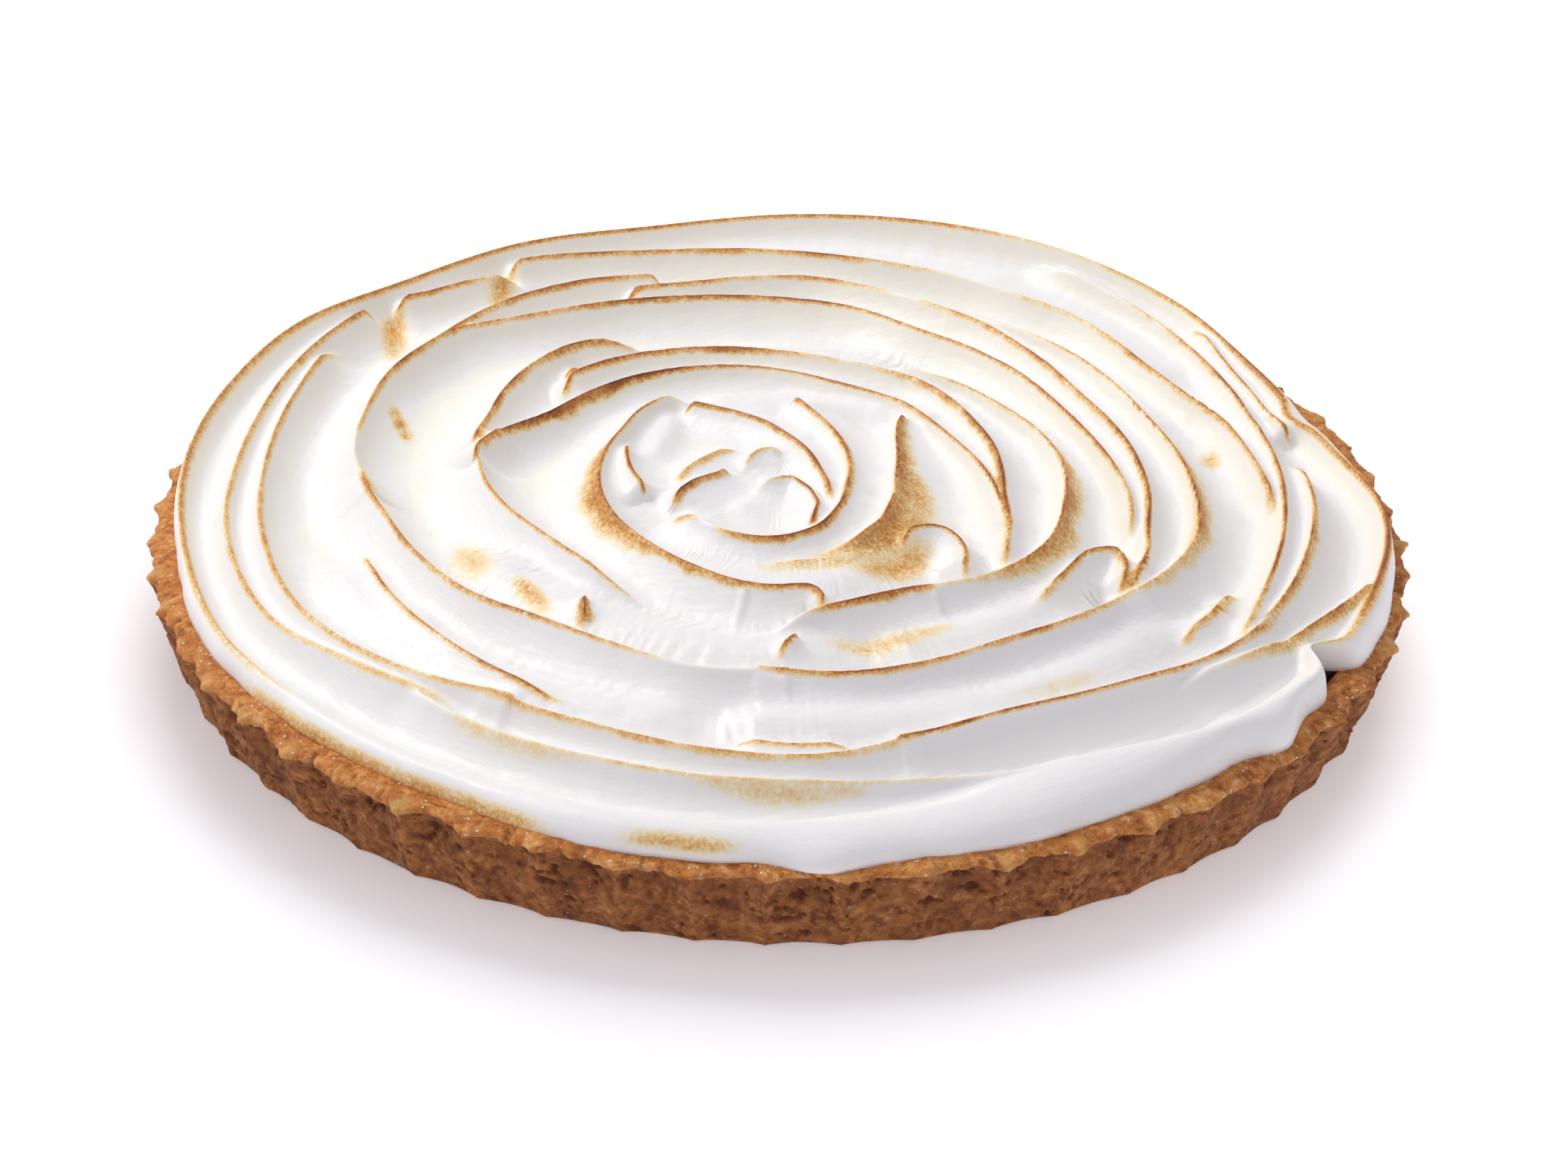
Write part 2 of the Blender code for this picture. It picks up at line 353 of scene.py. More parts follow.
def crumbRelief(where, theta, height, onRim, wall, lip, shade, outward):
    # soft lumps, grains, torn pits that gather in the hollows, and slanting tears: the push out, the pits and tears
    (lumpSize, lump), (grainSize, grain), (pitSize, pitDepth), (tearSize, tearDepth) = (
        pastry[name] for name in ("lumps", "grains", "pits", "tears"))
    bumps = cloudy(where, lumpSize, 3, 2.0)
    grains = cloudy(where, grainSize, 2, 4.0)
    holes = cloudy(where * (1, 1, 1.25), pitSize, 3, 9.0)
    patchy = smooth(-0.35, 0.35, cloudy(where, pastry["patches"], 2, 12.0) + 0.7 * shade - 0.1)
    pit = smooth(0.22, 0.5, holes) * patchy * (0.25 + 0.75 * wall * (1 - lip))
    slant = np.stack([theta * 2.35 + height / mm * 0.45, height / mm * 0.55, 0 * height], axis=1)
    tear = smooth(0.3, 0.55, cloudy(slant, tearSize, 3, 21.0)) * onRim * outward
    outside = smooth(0.3 * mm, 1.2 * mm, height) * np.maximum(wall, onRim)
    keep = 1 - (1 - pastry["rimKeep"]) * onRim
    push = outside * keep * (lump * bumps + grain * grains - pitDepth * pit - tearDepth * tear)
    return push, pit, tear


def makePastry():
    columns = pastry["columns"]
    rows = caseProfile()
    angle = np.arange(columns) * 360 / columns
    radius, theta = np.repeat(rows[:, 0], columns), np.tile(angle, len(rows))
    height, onRim, wall = (np.repeat(rows[:, i], columns) for i in (1, 2, 3))
    turn = np.radians(theta)
    where = np.stack([radius * np.cos(turn), radius * np.sin(turn), height], axis=1)
    flute, deep, waves, ragged, flakes = (np.tile(values, len(rows)) for values in fluteMarks(angle))

    # the rim's torn edge hangs a little way over the flutes, with a hollow below it
    shallow, steep = pastry["fluteDepth"]
    depth = (shallow + (steep - shallow) * height / rimTop) * deep
    least, most = pastry["lipDrop"]
    drop = least + (most - least) * np.maximum(ragged, 1.2 * flakes)
    lip = smooth(-0.5 * mm, 0.5 * mm, height - (rimTop - pastry["crown"] * 0.7 - drop))
    under = np.exp(-((rimTop - pastry["hollowDrop"] - height) / pastry["hollowHeight"]) ** 2) * (1 - lip)
    hollow = pastry["hollowDepth"] * under * flute ** 1.3 * deep
    outward = smooth(0, 1, (radius - (rimRadius - 0.55 * pastry["rimWidth"])) / (3.6 * mm))
    onWall = smooth(0, 1, (radius - 0.9 * pastry["baseRadius"]) / (5 * mm))
    side = np.where(wall > 0.5, onWall, onRim * outward)
    fluted = depth * flute * (1 - lip * pastry["lipKeep"] * ragged)
    radius = radius - side * (fluted + hollow * wall + lip * (pastry["lipInset"] - pastry["flake"] * flakes))
    dipped = onRim * pastry["rimDip"] * waves + side * lip * pastry["lipSag"] * ragged
    height = height - dipped * smooth(rimTop - 4 * mm, rimTop - 1.5 * mm, height)

    push, pit, tear = crumbRelief(where, theta, height, onRim, wall, lip, under * flute, outward)
    radius = radius + push * np.where(wall > 0.5, 1, 0.6 * side)
    height = height + push * np.where(wall > 0.5, 0.1, onRim)
    # nothing passes the case's own size but the bulge, which points between its widest places
    radius = np.minimum(radius, rimRadius - 0.02 * mm)
    bulge = pastry["bulge"] * np.exp(-((theta - pastry["bulgeAngle"]) / pastry["bulgeReach"]) ** 2)
    radius += bulge * height / rimTop
    height = np.clip(height, 0, rimTop - 0.01 * mm)

    points = np.stack([radius * np.cos(turn), radius * np.sin(turn), height], axis=1)
    middle = np.array([[0, 0, pastry["floor"]]])
    points = np.concatenate([middle, points, middle * 0])
    ends = np.zeros(1)
    marks = dict(
        # where the hollow colour goes: painted shade in each flute below the lip, strongest just under it
        hollow=np.clip(flute * wall * (1 - lip) * (0.35 + 0.65 * under), 0, 1),
        flake=flakes * lip * side,
        rim=np.maximum(onRim, lip * wall),
        # painted shade for the pits, and more lightly for the tears
        pit=np.maximum(pit, 0.6 * tear),
    )
    marks = {name: np.concatenate([ends, values, ends]) for name, values in marks.items()}
    case = lattice("pastry_case_baked", points, len(rows), columns, marks)
    case.data.materials.append(pastryMaterial())
    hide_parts("pastry_case")
    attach(case, "root")
    print("pastry case:", len(case.data.polygons), "faces")


def pastryMaterial():
    shader = Shader("baked_pastry_crumb", 0.75, Specular_IOR_Level=crust["specular"])
    rim, hollow, flake, pit = (shader.attribute(name) for name in ("rim", "hollow", "flake", "pit"))
    # crumbs: cells bent out of round by a finer noise
    finer = {"Vector": shader.place(), "Scale": 1 / crust["bend"], "Detail": 2}
    bend = shader.node("ShaderNodeTexNoise", {}, finer, "Color")
    bent = shader.node("ShaderNodeVectorMath", dict(operation="MULTIPLY_ADD"),
                       [bend, (crust["bendReach"],) * 3, shader.place()])
    cell = {"Vector": bent, "Scale": 1 / crust["crumb"]}
    crumb = shader.node("ShaderNodeTexVoronoi", {}, cell, "Distance")
    crumbTone = shader.node("ShaderNodeTexVoronoi", {}, cell, "Color") * 1.0
    crystal = {"Vector": shader.place(), "Scale": 1 / crust["crystal"]}
    speck = shader.node("ShaderNodeTexVoronoi", {}, crystal, "Distance").ranged(0.24, 0.15)
    shown = (shader.node("ShaderNodeTexVoronoi", {}, crystal, "Color") * 1.0).ranged(0.52, 0.56)
    broad = shader.noise(crust["broad"], 3, 0.6)
    blotch = shader.noise(crust["blotch"], 4, 0.65)
    fine = shader.noise(crust["fine"], 3, 0.65)
    side = shader.ramp(blotch * 0.55 + broad * 0.3 + crumbTone * 0.15, [
        (0.36, byte(106, 56, 22)), (0.45, byte(140, 82, 38)),
        (0.54, byte(170, 106, 54)), (0.64, byte(196, 134, 76))])
    top = shader.ramp(blotch * 0.45 + broad * 0.25 + fine * 0.15 + crumbTone * 0.15, [
        (0.38, byte(160, 88, 34)), (0.47, byte(192, 118, 52)),
        (0.55, byte(212, 142, 74)), (0.64, byte(230, 180, 122))])
    colour = shader.mix(rim, side, top)
    # partly darker crust, partly painted shade in the flute hollows under the lip
    colour = shader.mix(hollow * 0.55, colour, byte(*crust["hollow"]))
    colour = shader.mix(blotch.ranged(0.42, 0.3) * (1 - rim * 0.7) * 0.5, colour, byte(*crust["dark"]))
    # painted shade inside the pits and tears
    colour = shader.mix(pit * 0.8, colour, byte(*crust["pit"]))
    colour = shader.mix(flake * 0.8, colour, byte(*crust["flake"]))
    sugar = speck * shown * (rim * 0.75 + 0.2)
    colour = shader.mix(sugar * 0.8, colour, byte(*crust["sugar"]))
    shader.feed("Base Color", colour)
    shader.feed("Roughness", crust["roughness"] - sugar * 0.3)
    dome = (1 - crumb) * 0.4 + fine * 0.7 + blotch * 1.1 + sugar * 0.6
    shader.feed("Normal", shader.bump(dome, crust["bump"], 0.8))
    return shader.material


# lengths in mm, angles in degrees from +X
mound = dict(
    centre=17.0, shoulder=12.0, shoulderRadius=95.0,
    depth=[4.6, 5.0, 6.8, 8.5, 8.5, 8.5, 8.5], depthReach=127,  # of the grooves, from the middle to that radius
    # crests: how wide they are on their inner and outer side, how hollow the slopes, and the thin fin on top
    reach=(11.0, 15.0), power=1.8, rounding=0.35, fin=1.2, finWidth=0.9, blend=4,
    wobble=(14, 0.35), ripple=(4, 0.12),  # size and height of the unevenness
    columns=720, rings=124, sideRows=9, crowding=5.0, crowdingReach=1.8,
    # torching: the dark line on a crest and the tan band that runs down from it
    crestLine=0.9, lineWidth=0.45, crestBand=0.5, bandWidth=0.95, patchStrength=0.52,
    # every 15 degrees: the edge's radius, its rise above the rim, its foot on the rim, how blunt it is, how far it
    # is browned and how wide that line is
    edgeRadius=[129.0, 124.2, 124.0, 128.2, 127.6, 126.9, 126, 125.8, 126, 125.7, 127.6, 127.5,
                127, 127, 127.3, 125.5, 125, 125.5, 124.5, 121.5, 118.3, 124.6, 126.6, 127.8],
    edgeRise=[6.8, 5.4, 7.6, 10.5, 14, 14.5, 13.5, 11.5, 12, 11, 12, 10.6,
              10, 8, 5, 4, 4, 4.5, 4.4, 4.8, 7, 7.2, 6, 7.5],
    notches=[(332.3, 1.9, 5.0), (21.0, 2.6, 2.8)],  # angle, half width and depth; the first opens down into the case
    toes=[(274.5, 3.5, 2.5), (320, 3, 3.2)],  # where the foot laps out over the rim: angle, half width and reach
    lap=0.9, uneven=0.5,  # how far the foot sinks into the rim, and how wavy it is
    foot=[130, 128, 127, 127.5, 128.5, 128.5, 128, 128, 128, 128, 128.5, 128.5,
          128.9, 128.3, 129, 128.4, 128.3, 130.6, 130.4, 130.4, 129.6, 128.4, 129.2, 131],
    edgeRounding=[0.35, 0.35, 0.35, 0.35, 0.35, 0.35, 0.35, 0.35, 0.35, 0.35, 0.35, 0.35,
                  0.35, 0.35, 0.8, 2.5, 3, 3, 3, 3, 1.8, 1.4, 1.2, 0.5],
    edgeToast=[0.85, 0.5, 0.75, 0.6, 0.15, 0.6, 0.6, 0.65, 0.62, 0.58, 0.5, 0.48,
               0.48, 0.45, 0.3, 0, 0, 0, 0, 0, 0, 0, 0, 0.8],
    edgeBand=[0.9, 0.8, 0.9, 0.8, 0.8, 0.8, 0.8, 0.8, 0.9, 1.1, 1.4, 1.6,
              1.6, 1.7, 1.5, 1.2, 1, 1, 1, 1, 1, 1, 1, 1.2],
)


def ridge(start, end, radii, brown, widths=(1.0, 1.0), fades=(16, 16), lift=1.0):
    # a crest from one angle to another, through radii in mm evenly spaced between them; brown is how far the
    # torch browned it along the way, widths are how far that runs down its inner and outer side, fades are how
    # long it takes to rise and to die away, and lift is how high it stands
    return dict(line=ridgeLine(start, end, radii), brown=brown, widths=widths, fades=fades, lift=lift)


def curl(marks, brown, widths=(1.0, 1.0), fades=(5, 5), lift=1.0):
    # a crest through free (angle, radius) marks, where the knife turned or lifted off
    return dict(line=curlLine(marks), brown=brown, widths=widths, fades=fades, lift=lift)


def makeStrokes():
    joined = (1, 1)  # the turn runs on into another ridge at both ends
    return [
        # the outermost turns
        ridge(140, 240, [121, 119, 117.5, 116, 116, 117.5, 118, 117, 113, 110, 107.5],
              [0.8, 0.8, 0.7, 0.5, 0.5, 0.55, 0.5, 0.3, 0.4, 0.3], (1.3, 1.0), (8, 25)),
        ridge(148, 241, [116, 111.8, 109.8, 110.8, 111.3, 108.3, 103.9], [0.6, 0.7, 0.6, 0.6, 0.45, 0.4],
              (1.3, 1.0), (16, 1)),
        ridge(237, 286, [104.3, 104.5, 106, 106.5, 103.6], [0.4, 0.5, 0.4, 0.3], (0.8, 1.2), (1, 1), 0.9),
        ridge(283, 376, [104, 102, 104.6, 109.6, 111.5, 112.6, 113.8, 113.5], [0.9, 0.9, 0.8, 0.85, 0.85, 0.8, 0.1],
              (0.5, [0.7, 0.7, 0.8, 1.3, 1.6, 1.4, 1.0]), (1, 20)),
        ridge(225, 300, [110, 112, 112.5, 113, 113, 114.2, 118],
              [0, 0.1, 0.2, 0.3, 0.25, 0.1, 0], (0.7, 1.0), (16, 1)),
        ridge(312, 346, [109, 111, 113.6, 117.3, 122, 127], [0, 0.1, 0.6, 0.8, 0.8], (0.9, 1.6), (20, 4)),
        ridge(328, 425, [109, 107.3, 107, 107.8, 110, 113, 116.5, 119.5, 122], [0.3, 1, 1, 1, 1, 1, 0.5, 0, 0],
              (1.1, 0.8), (8, 20)),
        ridge(353, 484, [106, 104, 102.6, 101.8, 98.6, 98.4, 100.6, 103.1, 103.3, 104.8, 105.5, 106.6, 108.2,
                         110.3, 112.8, 116, 119],
              [0.5, 0.8, 0.7, 0.9, 0.8, 0.8, 0.5, 0.3, 0.05, 0.3, 0.8, 0.8, 0.8, 0.85, 0.9, 0.95], (1.2, 0.8), (16, 4)),
        ridge(121, 139, [113, 114, 116, 117.5, 120.5], [0, 0.1, 0.7, 0.9, 0.9], (1.2, 0.8), (12, 4)),
        ridge(106, 190, [99, 101.8, 101.4, 98.3, 97, 93.6, 91.5, 87], [0.5, 0.9, 0.9, 0.9, 0.9, 0.6, 0.1, 0.5],
              (1.3, 0.8), (5, 1)),
        # the middle turns
        ridge(184, 272, [89, 85.6, 84.5, 83.6, 81, 81.6, 83.8, 82.6], [0.5, 0.9, 0.8, 0.7, 0.8, 0.5, 0, 0],
              (0.7, 1.0), joined),
        ridge(267, 328, [82.3, 84.2, 83.5, 82.4, 84.2, 86.6], [0.5, 0.9, 0.8, 0.8, 0.7, 0.2], (0.7, 1.1), joined),
        ridge(323, 425, [85.9, 88.5, 89.9, 87.9, 86, 84.5, 85.4, 87, 87.5, 88],
              [0.2, 0.6, 0.9, 0.95, 0.9, 0.85, 0.6, 0.2, 0], (0.5, [1.2, 1.8, 2.3, 2.3, 2.0, 1.5, 1.0, 0.8]), joined),
        ridge(326, 474, [84.2, 82.8, 79.6, 78.1, 76.8, 75.8, 75, 75, 77.5, 80.6, 84.8, 88, 92, 95.5, 94.7, 93, 94.2],
              [0.7, 1, 1, 1, 1, 1, 1, 1, 0.9, 0.8, 0.5, 0.05, 0.5, 0.7, 0.6, 0.7, 0.95], (1.2, 0.8), (10, 4)),
        ridge(338, 502, [77, 74.5, 70.8, 68, 67.3, 68.7, 70.2, 72.3, 78.2, 81.2, 83.8, 87.3, 91.6, 98.8],
              [0.1, 0.6, 0.9, 0.95, 1, 0.95, 0.8, 0.85, 1, 1.1, 1.15, 1.1, 1, 0.9],
              ([0.8, 0.9, 1.0, 1.0, 1.1, 1.0, 0.9, 1.0, 1.2, 1.3, 1.3, 1.2, 1.0], 0.5), (14, 5)),
        ridge(196, 250, [91, 93.3, 95, 97.3, 98.4], [0.1, 0.8, 0.8, 0.9, 0.5], (0.5, 0.8), (20, 20), 0.7),
        ridge(112, 175, [66.5, 68, 71, 70, 68, 66, 66.3], [0, 0.5, 0.9, 0.9, 0.9, 0.9, 1.0], (1.5, 0.8), (20, 4)),
        ridge(316, 506, [61, 55, 49, 46.7, 45.8, 45.3, 46.2, 47.3, 46.9, 47.4, 49.4, 52.6, 55.7, 58.7, 59.9],
              [0.0, 0.8, 1, 1, 1, 1, 0.9, 0.7, 0.2, 0.4, 0.85, 1, 1, 1, 0.8], (1.3, 0.8), (12, 5)),
        ridge(300, 434, [60.3, 63.2, 63.7, 61.5, 60.1, 57.8, 54.6, 52.8, 50, 48],
              [0.1, 0.45, 0.85, 0.9, 0.9, 0.85, 0.75, 0.5, 0.1, 0],
              (0.45, [1.0, 1.9, 2.5, 2.6, 2.6, 2.3, 1.9, 1.5, 1.0]), (1, 16)),
        # the inner turns
        ridge(328, 537, [54, 47.6, 42.2, 38, 36.3, 36.2, 35.3, 35.7, 38.3, 41.6, 44.7, 47.8, 50.3, 54, 65],
              [0.1, 0.7, 0.95, 0.9, 0.9, 0.85, 0.85, 0.8, 0.85, 1, 1.3, 1.4, 1.35, 1.2, 1.2],
              ([0.6, 0.7, 0.8, 0.8, 0.9, 1.0, 0.9, 0.7, 0.9, 1.1, 1.6, 1.9, 1.8, 1.6, 1.3], 0.45), (6, 3)),
        curl([(180, 64.6), (186, 64), (192, 63.3), (198, 62.3), (205, 61.2), (212, 60.1), (219, 59.6), (226, 59.8),
              (234, 60.4), (243, 60.8), (252, 61.5)], [0.5, 0.75, 0.85, 0.8, 0.7, 0.65, 0.5, 0.3, 0.1], (0.6, 0.8),
             (3, 26)),
        ridge(120, 264.5, [37, 35.6, 35.9, 35.5, 37, 39.2, 41.8, 44.5, 47.2, 50.6, 54.1],
              [0, 0.4, 0.8, 0.9, 0.9, 0.95, 0.95, 0.95, 0.9, 0.9, 0.9],
              (0.5, [0.8, 1.0, 1.1, 1.5, 2.3, 2.7, 2.6, 2.3, 1.5, 1.5, 1.3]), (12, 1)),
        curl([(262, 53.6), (266, 54.2), (270, 54.2), (274, 53.8), (276.6, 54.0), (278.2, 55.4), (278.9, 57.4),
              (278.4, 59.2), (277.3, 60.4)], [0.9, 0.8, 0.8, 0.9, 1, 1, 0.6, 0], (0.8, 1.2), (1, 4)),
        ridge(166, 209, [33.6, 33.1, 32.8, 32.6, 32.1], [0.2, 0.9, 1, 1, 0.9], (0.8, 0.7), (8, 3), 0.95),
        curl([(264, 69), (269, 67), (273, 65.3), (276, 63.2), (279, 61.7), (284, 60.4), (289, 59.5), (296, 59.3),
              (302, 60.6)], [0, 0, 0, 0.6, 1, 1, 0.9, 0.5], (0.5, 1.3), (14, 1)),
        curl([(272, 38.8), (290, 38.2), (305, 35), (317, 31), (328, 28.2), (340, 25.8), (0, 24.7), (19, 26),
              (28, 28), (34, 30.6), (38, 34)], [0.2, 0.5, 0.8, 0.9, 0.95, 0.95, 0.95, 0.95, 0.95, 1, 1],
             (0.45, [1.0, 1.8, 2.2, 2.6, 2.9, 2.9, 2.6, 2.4, 2.2, 1.8, 1.2]), (20, 3)),
        ridge(222, 448, [33.5, 33.6, 36, 36.2, 32.6, 26, 20.4, 17, 15.2, 14, 13.7, 13.9, 15, 17, 20.6, 26.4],
              [0.5, 0.5, 0, 0.6, 1, 1, 1, 1, 1, 0.8, 0.8, 0.9, 0.9, 0.9, 0.9, 0.9], (1.0, 1.3), (10, 3)),
        curl([(298, 24), (301, 20.5), (307, 16.2), (322, 9.9), (348, 6.4), (39, 5.2), (89, 8.7), (106, 13.8),
              (119, 19.6), (127, 24.8), (131, 28.5), (135, 31.2)],
             [0.3, 0.6, 0.8, 1, 1, 1, 1, 1, 1, 1, 1, 0.8], (1.1, 0.9), (10, 3)),
        curl([(202, 26.8), (200, 23.4), (189, 18.6), (176, 14.8), (160, 11.8), (146, 8)],
             [0.4, 0.5, 0.55, 0.5, 0.4, 0.1], (1.1, 1.5), (8, 8), 0.62),
        # faint lines between the turns
        ridge(264, 280, [99.8, 101.5, 100.6], [0.3, 0.6, 0.4], (0.7, 0.9), (8, 8), 0.6),
        ridge(322, 340, [99.8, 100.6, 101], [0.3, 0.7, 0.5], (0.9, 1.3), (10, 10), 0.7),
        ridge(18, 43, [118.6, 116.9, 117.6, 119.4, 122.7, 126.4], [0.9, 0.8, 0.75, 0.6, 0.5], (0.7, 0.9), (3, 12)),
        ridge(262, 304, [42, 41.5, 41, 41], [0.2, 0.35, 0.35, 0.4], (0.6, 1.2), (10, 10), 0.6),
        # tongues and hooks
        curl([(306, 41.9), (309.5, 41), (313, 40.8), (316.8, 42.1), (318.9, 44.8), (318.6, 48),
              (317, 51.4), (314.2, 54.6), (310.5, 57.4)], [0.6, 0.8, 1, 1, 1, 1, 0.8, 0.4], (1.0, 0.5), (4, 6)),
        curl([(312, 73.2), (320, 72.8), (327, 71.8), (331, 71.8), (334, 74), (335, 76.5), (333.5, 79), (330.5, 81.5),
              (327, 83)], [0.4, 0.6, 0.7, 0.9, 1, 1, 0.9, 0.7], (0.9, 1.1), (12, 6)),
        curl([(239, 15), (250, 13.9), (263, 11.8), (272, 10.9), (282, 11.2), (288, 13.6), (291, 16.2), (291, 19.4),
              (290, 22.5), (285, 26.7), (281, 29.4)],
             [0, 0.1, 0.4, 0.7, 1, 1, 1, 1, 0.9, 0.5], (1.0, 0.9), (6, 5), 0.92),
        curl([(220, 30), (217, 25.2), (215, 22.1), (215, 18.5), (215, 15.4), (205, 12)],
             [0.8, 1.1, 1.1, 1.1, 1, 0.7], (1.1, 1.4), (4, 4), 0.9),
        curl([(205, 9), (185, 6.4), (150, 4.5), (60, 3.2)], [0.05, 0.5, 0.3, 0], (0.9, 0.9), (4, 4), 0.8),
        curl([(169, 61.3), (173.5, 63.3), (178, 66)], [1.1, 1.25, 1.2], (1.2, 0.8), (3, 2)),
        curl([(133, 66.5), (136, 65.5), (140, 63.5)], [0.7, 0.8, 0.5], (1.0, 1.0), (3, 3), 0.6),
        curl([(269.8, 75.8), (271.8, 72.8), (273.6, 70.2)], [0.5, 0.95, 1], (0.8, 0.8), (4, 1.5), 0.93),
        curl([(290, 98.6), (292.5, 99.2), (295, 100.2)], [0.5, 0.7, 0.4], (0.6, 0.7), (3, 3), 0.5),
        curl([(235.6, 68.3), (236.8, 70.6), (238.2, 72.9), (239.4, 75.2)], [0.8, 0.9, 0.9, 0.7],
             ([0.7, 1.3, 1.7], [0.7, 1.3, 1.7]), (2, 3), 0.85),
    ]


# broad smooth swells that fill the floor between turns: (angle, radius) marks, half width and how high they stand
swells = [
    ([(205, 72), (225, 71), (245, 70), (265, 71), (285, 72)], 9, 0.78),
    ([(283, 72), (304, 72), (325, 73)], 8, 0.7),
    ([(236, 46), (257, 47.5), (278, 48), (300, 46)], 8, 0.8),
    ([(60, 60), (80, 61), (100, 63)], 7, 0.45),
    ([(200, 101), (220, 99), (240, 96), (262, 94)], 7, 0.6),
    ([(262, 94), (285, 93), (308, 93), (330, 95)], 7, 0.65),
    ([(30, 108), (50, 110), (70, 113)], 8, 0.55),
    ([(60, 118), (85, 119), (110, 119)], 6, 0.4),
    # the middle: a smooth shoulder behind, a rounded nose on the left and two lobes
    ([(40, 34), (60, 31), (75, 29), (90, 28.8), (98, 29.7), (111, 33), (122, 36)], 4.5, 0.66),
    ([(134, 30), (142, 30.5), (152, 29), (164, 28), (176, 28.5)], 3.6, 0.72),
    ([(238, 16), (248, 19), (254, 23)], 5.5, 0.62),
    ([(230, 26), (240, 29)], 4, 0.4),
    ([(190, 7), (150, 5)], 3.5, 0.6),
]


# torched patches off the crests: first and last angle, radii, half widths and strengths along them
patches = [
    (282, 330, [39, 39, 37, 34], [2.2, 3, 3.2, 2.6], [0.35, 0.75, 0.8, 0.6]),
    (326, 352, [34, 31, 28.6], [2.6, 2.8, 2.2], [0.7, 0.7, 0.5]),
    (291, 312, [46, 45.5, 44.5], [2.8, 3.2, 2.4], [0.45, 0.7, 0.6]),
    (279, 300, [69.3, 70, 69.6], [2.2, 2.8, 2.2], [0.28, 0.42, 0.28]),
    (204, 217, [72, 73.5, 75], [3, 3.5, 3], [0.3, 0.4, 0.3]),
    (222, 232, [71.5, 73, 74.5], [1.2, 1.8, 1.4], [0.6, 0.7, 0.5]),
    (236, 252, [112, 112.3, 112.5], [1.6, 2.0, 1.4], [0.22, 0.28, 0.2]),
    (262, 279, [113, 114.5, 114], [1.2, 1.6, 1.2], [0.22, 0.32, 0.22]),
    (300, 312, [94.5, 95.5, 96], [1.4, 1.7, 1.4], [0.15, 0.24, 0.15]),
    (340, 385, [90, 89.3, 86.8, 85.2], [1.6, 1.8, 1.6, 1.2], [0.5, 0.6, 0.5, 0.4]),
    (11, 14.5, [95.5, 96.5], [1.5], [0.7]),
    (160, 166, [91, 87.5, 84], [1.2, 1.4, 1.0], [0.9, 0.9, 0.6]),
    (265, 310, [43.5, 43, 43, 43.5], [1.6, 1.8, 2], [0.25, 0.35, 0.4]),
    (124, 129, [118, 112, 107], [2.2, 2.6, 1.6], [0.8, 0.6, 0.4]),
    (139, 146, [119.5, 113, 107], [2.2, 2.4, 1.4], [0.9, 0.6, 0.4]),
]
# browning on the outer side: low down between two angles, and one patch at a height above the rim
footToast = dict(start=213, end=253, fade=(8, 6), reach=0.85, strength=0.3,
                 patchAngle=262.5, patchHalf=4.5, patchRise=2.2, patchHeight=1.2, patchStrength=0.3)


def ridgeLine(start, end, radii, step=1.6):
    # plan points in mm, about one step apart, from one angle to another
    rough = np.linspace(0, 1, 60)
    turn, span = np.radians(start + (end - start) * rough), through(radii, rough)
    length = np.hypot(np.diff(span * np.cos(turn)), np.diff(span * np.sin(turn))).sum()
    share = np.linspace(0, 1, max(3, int(length / step)))
    turn, span = np.radians(start + (end - start) * share), through(radii, share)
    return np.stack([span * np.cos(turn), span * np.sin(turn)], axis=1)


def curlLine(marks, steps=5):
    turn = np.radians([mark[0] for mark in marks])
    span = np.array([mark[1] for mark in marks])
    share = np.linspace(0, 1, steps * len(marks))
    return np.stack([through(span * np.cos(turn), share), through(span * np.sin(turn), share)], axis=1)


def nearLine(points, line, limit):
    # for the points within the limit of a line: their index, distance, side (1 on the left) and share along it,
    # and the line's length
    steps = np.diff(line, axis=0)
    lengths = np.hypot(steps[:, 0], steps[:, 1])
    whole = np.concatenate([[0], np.cumsum(lengths)])
    best = np.full(len(points), limit)
    side, along = np.zeros(len(points)), np.zeros(len(points))
    chunk = 10
    for first in range(0, len(steps), chunk):
        bit = line[first:first + chunk + 1]
        low, high = bit.min(axis=0) - limit, bit.max(axis=0) + limit
        index = np.nonzero((points[:, 0] >= low[0]) & (points[:, 0] <= high[0])
                           & (points[:, 1] >= low[1]) & (points[:, 1] <= high[1]))[0]
        here = points[index]
        for i in range(first, min(first + chunk, len(steps))):
            step, length = steps[i], lengths[i]
            away = here - line[i]
            share = np.clip(away @ step / length ** 2, 0, 1)
            gap = away - share[:, None] * step
            distance = np.hypot(gap[:, 0], gap[:, 1])
            closer = distance < best[index]
            chosen = index[closer]
            best[chosen] = distance[closer]
            cross = step[0] * gap[closer, 1] - step[1] * gap[closer, 0]
            side[chosen] = cross / length / np.maximum(distance[closer], 1e-9)
            along[chosen] = (whole[i] + share[closer] * length) / whole[-1]
    kept = np.nonzero(best < limit)[0]
    return kept, best[kept], side[kept], along[kept], whole[-1]


def edgeAt(angle):
    # the outer edge's radius, pulled in at its notches
    radius = around(mound["edgeRadius"], angle)
    for middle, half, depth in mound["notches"]:
        radius = radius - depth * np.exp(-((np.asarray(angle) % 360 - middle) / half) ** 2)
    return radius


def moundRise(radius, angle):
    # height above the rim of the smooth mound that the crests lie on
    share = np.minimum(radius / mound["shoulderRadius"], 1)
    dome = mound["centre"] + (mound["shoulder"] - mound["centre"]) * share ** 2
    reach = edgeAt(angle) - mound["shoulderRadius"]
    share = smooth(0, 1, (radius - mound["shoulderRadius"]) / reach)
    return dome + (around(mound["edgeRise"], angle) - mound["shoulder"]) * share


def grooveDepth(radius):
    return through(mound["depth"], radius / mound["depthReach"])


